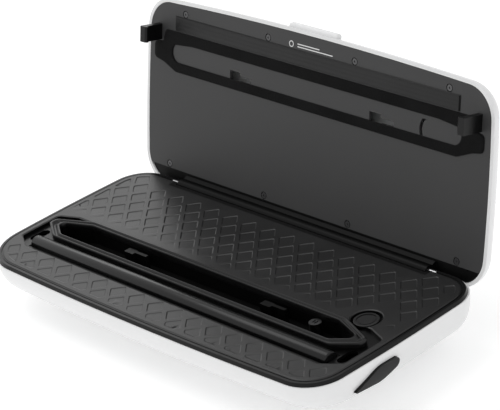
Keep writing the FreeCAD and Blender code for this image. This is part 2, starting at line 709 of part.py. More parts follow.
def release_button():
    """Leaf-shaped side button whose face follows the housing, with a flange that keeps it in."""
    leaf = release_prism(BUTTON_BACK_X, 215)
    face = tray_solid(BUTTON_OUT, TRAY_DEPTH + BUTTON_OUT)
    flange = release_prism(BUTTON_BACK_X, BUTTON_BACK_X + FLANGE_T, 1.2)
    inside = tray_solid(-WALL - 1.5 * SLIP, TRAY_DEPTH - WALL - 1.5 * SLIP)
    return fused([leaf.common(face), flange.common(inside)])


def latch_slider():
    """Catch plate behind the side button, drawn back so that the barb passes its ledge as the lid closes."""
    z0, z1 = SLIDER_Z
    ledge_x = BARB_X - 0.3
    window_x = HOOK_X[1] + 0.4 + BUTTON_TRAVEL
    body = fused([
        box(170.5, ledge_x, -136.5, -122.0, z0, z1),
        box(176.5, BUTTON_BACK_X, -139.0, -118.0, z0, z1),
        box(BUTTON_BACK_X - 1.6, BUTTON_BACK_X, -130.0, -118.0, -16.0, z1),
    ])
    return body.cut(box(ledge_x, window_x, -136.5, -119.4, z0 - 1, z1 + 1))


def lid_shell():
    outer = lid_solid(0, LID_T)
    inner = lid_solid(LID_RIM, LID_T - LID_WALL)
    tab = rounded_polygon(
        [(-TAB_HALF, LID_FRONT_Y - TAB_OUT), (TAB_HALF, LID_FRONT_Y - TAB_OUT),
         (TAB_HALF - 4, LID_FRONT_Y + 12), (-TAB_HALF + 4, LID_FRONT_Y + 12)], [2.5, 2.5, 1, 1], LID_Z + 1.5)
    tab = prism(tab, 6.0)
    front_edges = [e for e in tab.Edges if e.BoundBox.ZLength < 0.01 and e.BoundBox.YMin < LID_FRONT_Y - 2]
    tab = tab.makeFillet(1.8, front_edges)
    shell = fused([outer, tab]).cut(inner)
    bosses = [disc(x, y, 3.4, LID_Z + PLATE_T + SLIP, LID_Z + LID_T - LID_WALL + 0.4) for x, y in LID_SCREWS]
    shell = fused([shell] + [b.common(outer) for b in bosses])
    top = LID_Z + LID_T
    cuts = [disc(x, y, SCREW_R + 0.02, LID_Z, LID_Z + 10) for x, y in LID_SCREWS]
    cuts.append(panel_block(top - PANEL_T - 0.02, top + 1, SLIP))
    cuts += [disc(x, KEY_Y, KEY_R + KEY_GAP, top - 5, top + 1) for x in KEY_X]
    cuts += [disc(x, LAMP_Y, LAMP_R + SLIP, top - 5, top + 1) for x in KEY_X]
    return shell.cut(cuts)


def panel_block(z0, z1, grow=0.0):
    points = [(-PANEL_X, PANEL_Y[0]), (PANEL_X, PANEL_Y[0]), (PANEL_X, PANEL_Y[1]), (-PANEL_X, PANEL_Y[1])]
    return plate(points, 8.0, z0, z1, grow)


def control_panel():
    top = LID_Z + LID_T
    cuts = [disc(x, KEY_Y, KEY_R + KEY_GAP, top - 5, top + 1) for x in KEY_X]
    cuts += [disc(x, LAMP_Y, LAMP_R + SLIP, top - 5, top + 1) for x in KEY_X]
    return panel_block(top - PANEL_T, top).cut(cuts)


def key(x):
    top = LID_Z + LID_T
    cap = disc(x, KEY_Y, KEY_R, top - 3.6, top + KEY_PROUD)
    cap = cap.makeFillet(0.5, [e for e in cap.Edges if e.BoundBox.ZMin > top])
    return fused([cap, disc(x, KEY_Y, KEY_R + 1.2, top - 3.6, top - LID_WALL - 0.4)])


def lamps():
    top = LID_Z + LID_T
    return [disc(x, LAMP_Y, LAMP_R, top - LID_WALL - 1.0, top - 0.1) for x in KEY_X]


def control_pcb():
    top = LID_Z + LID_T
    z = top - 8.6
    parts = [(x + PANEL_X - 3, KEY_Y - PANEL_Y[0] - 3, 6, 6, 2.2) for x in KEY_X]
    return board((-PANEL_X, PANEL_Y[0]), (2 * PANEL_X, PANEL_Y[1] - PANEL_Y[0]), z, parts)


def whole_plate(gap, z0, z1):
    """The lid opening's outline, with this gap to the rim, which leans in a little as it goes up."""
    inset = LID_RIM + gap
    r = LID_CORNER_R - inset
    return prism(bowed_outline(LID_HALF_WIDTH - inset, LID_FRONT_Y + inset, LID_BACK_Y - inset, r, r, z0), z1 - z0)


def lid_plate():
    flat = whole_plate(0.35, LID_Z, LID_Z + PLATE_T).cut(box(-210, 210, PLATE_BACK_Y, 20, 0, 30))
    cuts = []
    for x, y in LID_SCREWS:
        cuts += [disc(x, y, 3.3, LID_Z - 1, LID_Z + 1.1), disc(x, y, SCREW_R + SLIP, LID_Z - 1, LID_Z + 5)]
    for x0, x1, arm in L_POSTS:
        cuts.append(box(x0 - 0.8, x1 + 0.8, -111.8, -104.0, LID_Z - 1, LID_Z + 5))
        cuts.append(box(x0 - 0.8, arm + 0.8, -109.0, -104.5, LID_Z - 1, LID_Z + 5))
    ring = disc(134.5, -110, 13.4, LID_Z - 1, LID_Z + 5).cut(disc(134.5, -110, 10.4, LID_Z - 2, LID_Z + 6))
    cuts.append(ring.common(box(118, 130.6, -118.5, -101.5, 0, 30)))
    cuts.append(heater_block(LID_Z - 1, LID_Z + 5, SLIP))
    for s in SIDES:
        cuts.append(box(s * (HOOK_X[0] - SLIP), s * (HOOK_X[1] + SLIP), HOOK_Y[0] - SLIP, HOOK_Y[1] + SLIP, 0, 30))
    return flat.cut(cuts)


def heater_block(z0, z1, grow=0.0):
    return box(-162 - grow, 162 + grow, -144.6 - grow, -131.9 + grow, z0, z1)


def heater_carrier():
    bar = heater_block(LID_Z - 0.6, LID_Z + PLATE_T)
    return bar.makeChamfer(0.4, [e for e in bar.Edges if e.BoundBox.ZMax < LID_Z])


def heating_element():
    return box(-158, 158, -139.4, -137.0, LID_Z - 0.8, LID_Z - 0.6)


def seal_tape():
    """Non-stick cover sheet over the element, glued to the carrier on both sides of it."""
    sheet = box(-161, 161, -144.1, -132.3, LID_Z - 1.0, LID_Z - 0.6)
    return sheet.cut(heating_element())


def foam_gasket():
    half = ((174, -131.1), (177.6, -120.4), (188, -118.8), (188, -105.0), (176, -102.6), (161, -96.5))
    radii = [3, 1.5, 4, 4, 5, 8]
    outer = prism(rounded_polygon(both_halves(half), radii + radii[::-1], LID_Z - 1), 1.0)
    inner = plate([(-165, -121.8), (165, -121.8), (165, -104.7), (-165, -104.7)], 8.5, LID_Z - 2, LID_Z + 1)
    return outer.cut(inner)


def latch_hook():
    """Arm that stands out of the lid plate, with a barb at its end and a flange behind the plate."""
    x0, x1 = HOOK_X
    y0, y1 = HOOK_Y
    tip = LID_Z - HOOK_LENGTH
    barb = Part.makePolygon([
        Vector(x0 + 1, y0, tip), Vector(x0 - 0.6, y0, tip), Vector(BARB_X, y0, tip + 1.2),
        Vector(BARB_X, y0, tip + BARB_T), Vector(x0 + 1, y0, tip + BARB_T), Vector(x0 + 1, y0, tip),
    ])
    barb = Part.Face(barb).extrude(Vector(0, y1 - y0, 0))
    arm = box(x0, x1, y0, y1, tip, LID_Z + PLATE_T + 0.5)
    flange = box(x0 - 3, x1 + 3, y0 - 2.5, y1 + 2.5, LID_Z + PLATE_T + 0.02, LID_Z + PLATE_T + 2.4)
    return fused([arm, barb, flange])


def hinge_band():
    """Black strip behind the lid plate, with the long barrel that turns on the two hinge pins."""
    z0 = LID_Z + BAND_RECESS
    strip = whole_plate(0.6, z0, z0 + BAND_T).cut(box(-210, 210, -200, PLATE_BACK_Y + SLIP, 0, 30))
    lip = box(-178, 178, PLATE_BACK_Y + SLIP, PLATE_BACK_Y + 1.4, LID_Z + 0.1, z0 + 1)
    section = [(-9.8, z0 + 1), (-9.8, z0), (-7.0, 4.6), (-7.0, HINGE_Z), (1.3, HINGE_Z), (1.0, z0 + 1)]
    web = Part.Face(Part.makePolygon([Vector(0, y, z) for y, z in section + section[:1]]))
    web.translate(Vector(-BARREL_HALF, 0, 0))
    web = web.extrude(Vector(2 * BARREL_HALF, 0, 0))
    barrel = Part.makeCylinder(BARREL_R, 2 * BARREL_HALF, Vector(-BARREL_HALF, HINGE_Y, HINGE_Z), X_AXIS)
    bore = Part.makeCylinder(HINGE_PIN_R + PIN_CLEARANCE, 8, Vector(BARREL_HALF - 7, HINGE_Y, HINGE_Z), X_AXIS)
    return fused([strip, lip, web, barrel]).cut([bore, mirrored(bore)])


def lid_screws():
    made = []
    for x, y in LID_SCREWS:
        head = disc(x, y, 2.5, LID_Z + 0.2, LID_Z + 1.1)
        shank = disc(x, y, SCREW_R, LID_Z + 0.8, LID_Z + 8)
        socket = disc(x, y, 0.9, LID_Z - 1, LID_Z + 0.7)
        made.append(fused([head, shank]).cut(socket))
    return made


def pieces():
    """Every node as (name, solids)."""
    tray, pan = housing_parts()
    base = {
        "lower_housing": tray,
        "base_pan": pan,
        "deck_plate": deck_plate(),
        "drip_tray": drip_tray(),
        "chamber_gasket": chamber_gasket(),
        "seal_bar": seal_bar(),
        "seal_bar_carrier": seal_bar_carrier(),
        "suction_port": suction_port(),
        "vacuum_tube": vacuum_tube(),
        "pump_motor": pump_motor(),
        "pump_head": pump_head(),
        "pump_bracket": pump_bracket(),
        "main_pcb": main_pcb(),
        "power_supply": power_supply(),
        "power_inlet": power_inlet(),
        "feet": feet(),
        "housing_screws": housing_screws(),
        "hinge_pins": hinge_pins(),
        "latch_switches": latch_switches(),
        "release_valve": release_valve(),
        "deck_button": deck_button(),
        "deck_button_spring": deck_button_spring(),
    }
    button, slider, spring = release_button(), latch_slider(), release_spring()
    for side, turn in (("left", mirrored), ("right", Part.Shape.copy)):
        base["release_button_" + side] = turn(button)
        base["latch_slider_" + side] = turn(slider)
        base["release_spring_" + side] = turn(spring)
    hook = latch_hook()
    lid = {
        "lid_shell": lid_shell(),
        "lid_plate": lid_plate(),
        "hinge_band": hinge_band(),
        "lid_screws": lid_screws(),
        "heater_carrier": heater_carrier(),
        "heating_element": heating_element(),
        "seal_tape": seal_tape(),
        "foam_gasket": foam_gasket(),
        "latch_hook_left": mirrored(hook),
        "latch_hook_right": hook,
        "control_panel": control_panel(),
        "control_pcb": control_pcb(),
        "indicator_lamps": lamps(),
    }
    lid.update({name: key(x) for name, x in zip(KEY_NAMES, KEY_X)})
    made = [(name, shape if isinstance(shape, list) else [shape]) for name, shape in base.items()]
    for name, shape in lid.items():
        made.append((name, [turned_open(s) for s in (shape if isinstance(shape, list) else [shape])]))
    return made


def export(made):
    """Writes each node, moved so that the origin is on the floor under the middle of the whole box."""
    everything = Part.makeCompound([s for name, solids in made for s in solids])
    bounds = everything.optimalBoundingBox(False, False)
    back = -(bounds.YMin + bounds.YMax) / 2
    shift = Vector(0, back, RIM_HEIGHT)
    os.makedirs("parts", exist_ok=True)
    for name, solids in made:
        shape = solids[0] if len(solids) == 1 else Part.makeCompound(solids)
        shape.translate(shift)
        count = len(shape.Solids)
        if not shape.isValid() or count != len(solids):
            print("CHECK", name, "valid", shape.isValid(), "solids", count, "of", len(solids))
        shape.exportStep("parts/" + name + ".step")
    print("working frame moved by", shift, "nodes", len(made))
    print("hinge axis at", Vector(0, HINGE_Y, HINGE_Z) + shift)
    print("box", bounds.XLength, bounds.YLength, bounds.ZLength, "half height", bounds.ZMax + RIM_HEIGHT)


export(pieces())
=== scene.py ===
"""Looks of the open vacuum sealer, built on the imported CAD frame. Lengths in helpers are in millimetres."""

import json
import math

import bmesh
import bpy
import numpy as np
from mathutils import Matrix, Vector
from mathutils.geometry import delaunay_2d_cdt


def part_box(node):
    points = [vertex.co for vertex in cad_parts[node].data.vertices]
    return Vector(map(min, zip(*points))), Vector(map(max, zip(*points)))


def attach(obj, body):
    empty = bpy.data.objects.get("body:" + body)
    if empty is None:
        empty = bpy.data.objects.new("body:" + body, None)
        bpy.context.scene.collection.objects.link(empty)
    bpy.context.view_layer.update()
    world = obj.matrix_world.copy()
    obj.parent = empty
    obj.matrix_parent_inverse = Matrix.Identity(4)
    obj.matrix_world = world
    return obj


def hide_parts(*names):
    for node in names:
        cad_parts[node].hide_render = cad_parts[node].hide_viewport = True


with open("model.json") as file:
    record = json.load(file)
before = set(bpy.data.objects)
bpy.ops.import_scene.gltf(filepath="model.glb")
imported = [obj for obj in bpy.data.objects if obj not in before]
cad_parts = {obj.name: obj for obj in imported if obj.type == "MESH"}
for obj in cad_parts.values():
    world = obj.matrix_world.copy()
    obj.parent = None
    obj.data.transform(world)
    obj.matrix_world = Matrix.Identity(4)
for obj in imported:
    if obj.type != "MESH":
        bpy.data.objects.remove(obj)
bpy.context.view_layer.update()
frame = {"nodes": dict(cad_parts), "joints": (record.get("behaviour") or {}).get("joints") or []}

MM = 0.001

# The part's working frame: y = 0 at the deck's back edge, z = 0 at the plane where deck and housing meet.
hinge = next(j for j in frame["joints"] if j["name"] == "lid_hinge")
HINGE_AT = Vector(hinge["pos_m"])
AXIS_BEHIND, AXIS_ABOVE = 2.86, 1.05  # the hinge axis from the working frame's origin
BACK_EDGE_Y = HINGE_AT.y + AXIS_BEHIND * MM
RIM_Z = HINGE_AT.z - AXIS_ABOVE * MM
DECK_T = (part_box("deck_plate")[1].z - RIM_Z) / MM
OPEN_TURN = Matrix.Rotation(-math.radians(hinge["range_deg"][1]), 4, "X")
LID_Z = 7.5  # underside of the lid plate when closed


def on_base(x, y, z):
    """A point of the working frame, in metres in the frame of the row."""
    return Vector((x * MM, y * MM + BACK_EDGE_Y, z * MM + RIM_Z))


def on_lid(x, y, z):
    """The same for a point of the closed lid, turned open with it."""
    return HINGE_AT + OPEN_TURN @ (on_base(x, y, z) - HINGE_AT)


# ---------------------------------------------------------------- camera, light and stage

CAMERA_AT = Vector((1.3655, -1.0857, 0.952))
CAMERA_AZIMUTH = 51.06
CAMERA_ELEVATION = 26.41
CAMERA_ROLL = -9.47
CAMERA_LENS = 178.6
CAMERA_SHIFT = (-0.003, 0.0138)


def make_camera():
    data = bpy.data.cameras.new("camera")
    camera = bpy.data.objects.new("camera", data)
    bpy.context.scene.collection.objects.link(camera)
    az, el = math.radians(CAMERA_AZIMUTH), math.radians(CAMERA_ELEVATION)
    ahead = Vector((-math.sin(az) * math.cos(el), math.cos(az) * math.cos(el), -math.sin(el)))
    level = ahead.to_track_quat("-Z", "Y").to_matrix().to_4x4()
    roll = Matrix.Rotation(math.radians(CAMERA_ROLL), 4, "Z")
    camera.matrix_world = Matrix.Translation(CAMERA_AT) @ level @ roll
    data.lens = CAMERA_LENS
    data.shift_x, data.shift_y = CAMERA_SHIFT
    data.clip_start, data.clip_end = 0.05, 50
    bpy.context.scene.camera = camera


def area_light(name, at, towards, size, power):
    data = bpy.data.lights.new(name, "AREA")
    data.shape = "RECTANGLE"
    data.size, data.size_y = size
    data.energy = power
    light = bpy.data.objects.new(name, data)
    bpy.context.scene.collection.objects.link(light)
    light.location = at
    light.rotation_euler = (Vector(towards) - Vector(at)).to_track_quat("-Z", "Y").to_euler()


WORLD_LIGHT = 0.8
FLOOR_HALF = 6.0  # metres
FLOOR_GLOW = 0.25  # keeps the floor nearly white where little light falls


def make_stage():
    world = bpy.data.worlds.new("studio")
    bpy.context.scene.world = world
    world.use_nodes = True
    back = world.node_tree.nodes["Background"]
    back.inputs["Color"].default_value = (1.0, 1.0, 1.0, 1)
    back.inputs["Strength"].default_value = WORLD_LIGHT
    area_light("key", (-0.6, -0.2, 1.5), (0, 0, 0.05), (0.9, 0.9), 5)
    area_light("rear_left", (-1.3, 0.9, 0.7), (0, 0, 0.05), (0.8, 0.5), 1.6)
    mesh = bpy.data.meshes.new("floor")
    r = FLOOR_HALF
    mesh.from_pydata([(-r, -r, 0), (r, -r, 0), (r, r, 0), (-r, r, 0)], [], [(0, 1, 2, 3)])
    floor = bpy.data.objects.new("floor", mesh)
    bpy.context.scene.collection.objects.link(floor)
    paper = surface("floor_white", (0.93, 0.93, 0.93), 0.8, grain=3.0, tone=0.01)
    shader = paper.node_tree.nodes["Principled BSDF"]
    shader.inputs["Emission Color"].default_value = (1, 1, 1, 1)
    shader.inputs["Emission Strength"].default_value = FLOOR_GLOW
    mesh.materials.append(paper)
    settings = bpy.context.scene.view_settings
    settings.view_transform = "Standard"


# ---------------------------------------------------------------- materials


def surface(name, colour, rough, grain=300.0, tone=0.08, rough_swing=0.05, bump=0.0, bump_scale=None,
            coat=0.0, metallic=0.0, specular=0.5, sheen=0.0, weave=0.0):
    """A moulded surface: its colour and roughness drift with noise, and a fine bump gives its grain."""
    m = bpy.data.materials.new(name)
    m.use_nodes = True
    tree = m.node_tree
    nodes, links = tree.nodes, tree.links
    shader = nodes["Principled BSDF"]
    shader.inputs["Metallic"].default_value = metallic
    shader.inputs["Specular IOR Level"].default_value = specular
    shader.inputs["Coat Weight"].default_value = coat
    shader.inputs["Coat Roughness"].default_value = 0.12
    shader.inputs["Sheen Weight"].default_value = sheen
    where = nodes.new("ShaderNodeTexCoord")
    broad = nodes.new("ShaderNodeTexNoise")
    broad.inputs["Scale"].default_value = grain * 0.08
    broad.inputs["Detail"].default_value = 3
    links.new(where.outputs["Object"], broad.inputs["Vector"])
    ramp = nodes.new("ShaderNodeValToRGB")
    ramp.color_ramp.elements[0].position = 0.3
    ramp.color_ramp.elements[1].position = 0.7
    ramp.color_ramp.elements[0].color = tuple(max(c * (1 - tone), 0) for c in colour) + (1,)
    ramp.color_ramp.elements[1].color = tuple(min(c * (1 + tone), 1) for c in colour) + (1,)
    links.new(broad.outputs["Fac"], ramp.inputs["Fac"])
    links.new(ramp.outputs["Color"], shader.inputs["Base Color"])
    spread = nodes.new("ShaderNodeMapRange")
    spread.inputs["To Min"].default_value = max(rough - rough_swing, 0.02)
    spread.inputs["To Max"].default_value = min(rough + rough_swing, 1.0)
    links.new(broad.outputs["Fac"], spread.inputs["Value"])
    links.new(spread.outputs["Result"], shader.inputs["Roughness"])
    if bump:
        fine = nodes.new("ShaderNodeTexNoise")
        fine.inputs["Scale"].default_value = bump_scale or grain * 6
        fine.inputs["Detail"].default_value = 2
        links.new(where.outputs["Object"], fine.inputs["Vector"])
        height = fine.outputs["Fac"]
        if weave:
            height = woven(nodes, links, where, weave)
        bumped = nodes.new("ShaderNodeBump")
        bumped.inputs["Strength"].default_value = 1.0
        bumped.inputs["Distance"].default_value = bump
        links.new(height, bumped.inputs["Height"])
        links.new(bumped.outputs["Normal"], shader.inputs["Normal"])
    return m


def woven(nodes, links, where, pitch):
    """Height of a plain weave with this pitch in metres: two crossed sets of threads."""
    heights = []
    for axis in ("X", "Y"):
        wave = nodes.new("ShaderNodeTexWave")
        wave.bands_direction = axis
        wave.inputs["Scale"].default_value = 0.314 / pitch
        wave.inputs["Distortion"].default_value = 0.4
        links.new(where.outputs["Object"], wave.inputs["Vector"])
        heights.append(wave.outputs["Fac"])
    total = nodes.new("ShaderNodeMath")
    total.operation = "MAXIMUM"
    links.new(heights[0], total.inputs[0])
    links.new(heights[1], total.inputs[1])
    return total.outputs["Value"]


FINISHES = {
    "white_plastic": dict(colour=(0.77, 0.772, 0.775), rough=0.3, tone=0.012, bump=0.00001, coat=0.2),
    "deck_plastic": dict(colour=(0.012, 0.012, 0.0122), rough=0.36, tone=0.2, bump=0.00004,
                         bump_scale=1800, specular=0.45),
    "black_plastic": dict(colour=(0.003, 0.003, 0.0031), rough=0.3, tone=0.2, bump=0.00002, specular=0.25),
    # Darker and less reflective than black_plastic: painted shade for the trough, the channel under the bar
    # and the hinge gap, laid over parts that are really black plastic.
    "black_painted_shade": dict(colour=(0.002, 0.002, 0.002), rough=0.4, tone=0.2, bump=0.00001, specular=0.12),
    "grey_plate": dict(colour=(0.042, 0.042, 0.0425), rough=0.5, tone=0.04, bump=0.00001,
                       bump_scale=2600, specular=0.35),
    "panel_gloss": dict(colour=(0.01, 0.01, 0.011), rough=0.12, tone=0.1, coat=0.6),
    "key_plastic": dict(colour=(0.55, 0.555, 0.56), rough=0.35, tone=0.03, bump=0.00001),
    "lamp_lens": dict(colour=(0.15, 0.5, 0.28), rough=0.15, tone=0.1, coat=0.5),
    "gasket_rubber": dict(colour=(0.006, 0.006, 0.0062), rough=0.3, tone=0.2, bump=0.00002, specular=0.35),
    "bar_silicone": dict(colour=(0.004, 0.004, 0.0041), rough=0.26, tone=0.15, bump=0.00001,
                         specular=0.35),
    "foam": dict(colour=(0.003, 0.003, 0.0031), rough=0.85, grain=500, tone=0.5, bump=0.0004,
                 bump_scale=1000, specular=0.1, sheen=0.04),
    "seal_tape": dict(colour=(0.006, 0.006, 0.0062), rough=0.36, tone=0.3, bump=0.00005, weave=0.0008,
                      specular=0.3),
    "element_metal": dict(colour=(0.5, 0.48, 0.45), rough=0.3, tone=0.1, metallic=1.0),
    "tube_silicone": dict(colour=(0.7, 0.7, 0.67), rough=0.4, tone=0.04, bump=0.00001),
    "pump_plastic": dict(colour=(0.06, 0.06, 0.065), rough=0.5, tone=0.1, bump=0.00002),
    "circuit_board": dict(colour=(0.02, 0.15, 0.05), rough=0.4, tone=0.2, bump=0.00002),
    "steel": dict(colour=(0.6, 0.6, 0.61), rough=0.28, tone=0.08, metallic=1.0, bump=0.00001),
    "dark_steel": dict(colour=(0.11, 0.11, 0.112), rough=0.3, tone=0.1, metallic=1.0, bump=0.00001),
    "print_white": dict(colour=(0.75, 0.75, 0.75), rough=0.5, tone=0.03),
}


def make_materials():
    return {name: surface(name, **finish) for name, finish in FINISHES.items()}


NODE_MATERIALS = {
    "white_plastic": ("lower_housing", "base_pan", "lid_shell"),
    "deck_plastic": ("deck_button",),
    # The drip tray, the bar's carrier and the hinge band take the black with painted shade, standing in for
    # the shade in these hollows.
    "black_painted_shade": ("drip_tray", "seal_bar_carrier", "hinge_band"),
    "black_plastic": ("deck_plate", "latch_hook_left", "latch_hook_right", "latch_slider_left",
                      "latch_slider_right", "release_button_left", "release_button_right",
                      "power_inlet", "latch_switches", "heater_carrier", "release_valve",
                      "power_supply"),
    "grey_plate": ("lid_plate",),
    "panel_gloss": ("control_panel",),
    "key_plastic": ("seal_key", "vacuum_key", "stop_key"),
    "lamp_lens": ("indicator_lamps",),
    "gasket_rubber": ("chamber_gasket", "feet"),
    "bar_silicone": ("seal_bar",),
    "foam": ("foam_gasket",),
    "seal_tape": ("seal_tape",),
    "element_metal": ("heating_element",),
    "tube_silicone": ("vacuum_tube",),
    "pump_plastic": ("pump_head",),
    "circuit_board": ("main_pcb", "control_pcb"),
    "dark_steel": ("lid_screws", "suction_port"),
    "steel": ("pump_motor", "pump_bracket", "housing_screws", "hinge_pins", "deck_button_spring",
              "release_spring_left", "release_spring_right"),
}


def paint_nodes():
    for name, nodes in NODE_MATERIALS.items():
        for node in nodes:
            data = frame["nodes"][node].data
            data.materials.clear()
            data.materials.append(MATERIALS[name])


# ---------------------------------------------------------------- mesh helpers


def piece(name, body, material, mesh, smooth=True):
    obj = bpy.data.objects.new(name, mesh)
    bpy.context.scene.collection.objects.link(obj)
    mesh.materials.append(MATERIALS[material])
    if smooth:
        mesh.polygons.foreach_set("use_smooth", [True] * len(mesh.polygons))
    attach(obj, body)
    return obj


def ring_mesh(name, rows, place):
    """Closed loops of points joined into a closed band: the last loop joins back to the first."""
    points = [place(*p) for row in rows for p in row]
    n = len(rows[0])
    faces = []
    for i in range(len(rows)):
        k = (i + 1) % len(rows)
        for j in range(n):
            m = (j + 1) % n
            faces.append((i * n + j, i * n + m, k * n + m, k * n + j))
    mesh = bpy.data.meshes.new(name)
    mesh.from_pydata(points, [], faces)
    outward(mesh)
    return mesh


def outward(mesh):
    edit = bmesh.new()
    edit.from_mesh(mesh)
    bmesh.ops.recalc_face_normals(edit, faces=edit.faces)
    edit.to_mesh(mesh)
    edit.free()
    mesh.update()


def rounded_loop(points, radii, arc_steps, edge_steps):
    """Points round a polygon with arcs at its corners: arc_steps to an arc, edge_steps to a straight."""
    n = len(points)
    corners = [Vector(p) for p in points]
    arcs = []
    for i, p in enumerate(corners):
        u = (corners[i - 1] - p).normalized()
        v = (corners[(i + 1) % n] - p).normalized()
        half = u.angle(v) / 2
        run = radii[i] / math.tan(half)
        centre = p + (u + v).normalized() * (radii[i] / math.sin(half))
        a, b = p + u * run - centre, p + v * run - centre
        turn = math.atan2(a.x * b.y - a.y * b.x, a.dot(b))
        arc = []
        for k in range(arc_steps + 1):
            t = turn * k / arc_steps
            c, s = math.cos(t), math.sin(t)
            arc.append(centre + Vector((a.x * c - a.y * s, a.x * s + a.y * c)))
        arcs.append(arc)
    loop = []
    for i, arc in enumerate(arcs):
        loop += arc
        start = arcs[(i + 1) % n][0]
        loop += [arc[-1].lerp(start, (k + 1) / (edge_steps + 1)) for k in range(edge_steps)]
    return loop


def both_halves(half):
    return list(half) + [(-x, y) for x, y in reversed(half)]


def smooth_step(value, low, high):
    t = min(max((value - low) / (high - low), 0.0), 1.0)
    return t * t * (3 - 2 * t)


# ---------------------------------------------------------------- deck pattern

CELL_X, CELL_Y = 22.5, 23.8
CROSSING = Vector((-155.0, -53.0))  # one crossing of the raised bands
BAND_HALF = 1.7
RISE = 0.5
DIP = -0.03  # the pattern's edge, just under the deck's top
EDGE_SLOPE = 0.7
EDGE_RINGS = (0.7, 1.0)  # further loops inside each border, so that its slope stays narrow
POCKET_DEPTH = 0.46
# Inset and share of the depth, down a pocket's side. The first and last loops keep the flats flat.
POCKET_RINGS = ((-0.25, 0.0), (0.0, 0.0), (0.2, 0.25), (0.5, 0.75), (0.75, 1.0), (1.05, 1.0))
POCKET_MARGIN = 9.0
POCKET_CORNER = 1.6
SHORTEST_EDGE = 1.2
SMALLEST_POCKET = 35  # square millimetres

BASE_HALF_WIDTH, BASE_DEPTH = 200, 185
FRONT_BOW, SIDE_BOW = 4.75, 2.43
FRONT_RIGHT_R, FRONT_LEFT_R, BACK_R = 30.5, 43.5, 28.8
EDGE_IN = 5.0
RECESS_HALF = ((172.0, -150.5), (189.5, -140.0), (189.5, -100.5), (171.0, -93.8))
RECESS_CORNER = 4.0
RECESS_GAP = 0.4
RECESS_MID_Y = -121
AHEAD_Y, BEHIND_Y = -151.6, -91.0  # the pockets' limits in front of the recess and behind it
WELL = Vector((157.5, -84.5))
WELL_R = 12.2
WELL_GAP = 0.5
NOTCH_X, NOTCH_Y = 149.0, -11.5
BACK_ROW_Y = -18
FAR = 400  # well outside the deck


def deck_loop(inset):
    """The deck's outline drawn in by this much, with the hinge's notch in its back edge."""
    middle = BASE_DEPTH / 2

    def side_x(y):
        return BASE_HALF_WIDTH - SIDE_BOW * ((y + middle) / middle) ** 2 - inset

    def front_y(x):
        return -BASE_DEPTH + FRONT_BOW * (x / BASE_HALF_WIDTH) ** 2 + inset

    def corner(r, back):
        r -= inset
        y = (-r - inset) if back else (-BASE_DEPTH + r)
        for _ in range(4):
            x = side_x(y) - r
            y = (-inset - r) if back else (front_y(x) + r)
        start = 0 if back else -90
        turns = [math.radians(start + 90 * k / 12) for k in range(13)]
        return [Vector((x + r * math.cos(t), y + r * math.sin(t))) for t in turns]

    def half(front_r):
        front = corner(front_r, False)
        back = corner(BACK_R, True)
        reach = front[0].x
        loop = [Vector((reach * k / 30, front_y(reach * k / 30))) for k in range(30)] + front
        y0, y1 = front[-1].y, back[0].y
        for k in range(1, 20):
            y = y0 + (y1 - y0) * k / 20
            loop.append(Vector((side_x(y), y)))
        notch = NOTCH_X + (inset - EDGE_IN)
        return loop + back + [Vector((notch, -inset)), Vector((notch, NOTCH_Y - (inset - EDGE_IN)))]

    right, left = half(FRONT_RIGHT_R), half(FRONT_LEFT_R)
    return right + [Vector((-p.x, p.y)) for p in reversed(left[1:])]


def offset_loop(loop, grow):
    """A smooth closed loop, counter-clockwise, moved outward by grow."""
    out = []
    for i, p in enumerate(loop):
        along = (loop[(i + 1) % len(loop)] - loop[i - 1]).normalized()
        out.append(p + Vector((along.y, -along.x)) * grow)
    return out


def clipped(points, keep):
    """The part of a convex polygon inside every edge of keep, which runs counter-clockwise."""
    for i, a in enumerate(keep):
        along = keep[(i + 1) % len(keep)] - a
        side = [along.x * (p.y - a.y) - along.y * (p.x - a.x) for p in points]
        out = []
        for k, p in enumerate(points):
            q, s, t = points[(k + 1) % len(points)], side[k], side[(k + 1) % len(points)]
            if s >= 0:
                out.append(p)
            if s * t < 0:
                out.append(p.lerp(q, s / (s - t)))
        points = out
        if len(points) < 3:
            return []
    return points


def area(points):
    return sum(p.cross(points[(i + 1) % len(points)]) for i, p in enumerate(points)) / 2


def softened(points):
    """The polygon without its very short edges, and with rounded corners."""
    kept = [p for i, p in enumerate(points) if (p - points[i - 1]).length > SHORTEST_EDGE]
    if len(kept) < 3:
        return []
    n = len(kept)
    radii = []
    for i, p in enumerate(kept):
        u, v = kept[i - 1] - p, kept[(i + 1) % n] - p
        radii.append(min(POCKET_CORNER, 0.45 * min(u.length, v.length) * math.tan(u.angle(v) / 2)))
    return rounded_loop(kept, radii, 4, 1)


def band_between(low, high):
    return [Vector((-FAR, low)), Vector((FAR, low)), Vector((FAR, high)), Vector((-FAR, high))]


def pocket_centres(reach):
    """Middles of the lattice's diamonds that lie on the deck and not at the hinge."""
    for i in range(-30, 31):
        for j in range(-14, 15):
            c = CROSSING + Vector((i * reach.x, j * reach.y))
            on_deck = abs(c.x) <= 210 and -190 < c.y < 5
            at_hinge = abs(c.x) < NOTCH_X + 8 and c.y > BACK_ROW_Y - reach.y * 0.9
            if (i + j) % 2 and on_deck and not at_hinge:
                yield c


def pockets():
    """Each sunken diamond between the raised bands, as a rounded polygon."""
    margin = [p for p in deck_loop(POCKET_MARGIN) if abs(p.x) > NOTCH_X + 6 or p.y < -60]
    ahead, behind = band_between(-FAR, AHEAD_Y), band_between(BEHIND_Y, 10)
    reach = Vector((CELL_X / 2, CELL_Y / 2))
    shrink = 1 - BAND_HALF / (reach.x * reach.y / reach.length)
    found = []
    for c in pocket_centres(reach):
        across, along = Vector((reach.x, 0)) * shrink, Vector((0, reach.y)) * shrink
        rim = clipped([c + across, c + along, c - across, c - along], margin)
        rim = clipped(rim, ahead if c.y < RECESS_MID_Y else behind)
        if not rim or area(rim) < SMALLEST_POCKET:
            continue
        if min((p - WELL).length for p in rim) < WELL_R + 3:
            continue
        rim = softened(rim)
        if rim:
            found.append(rim)
    return found


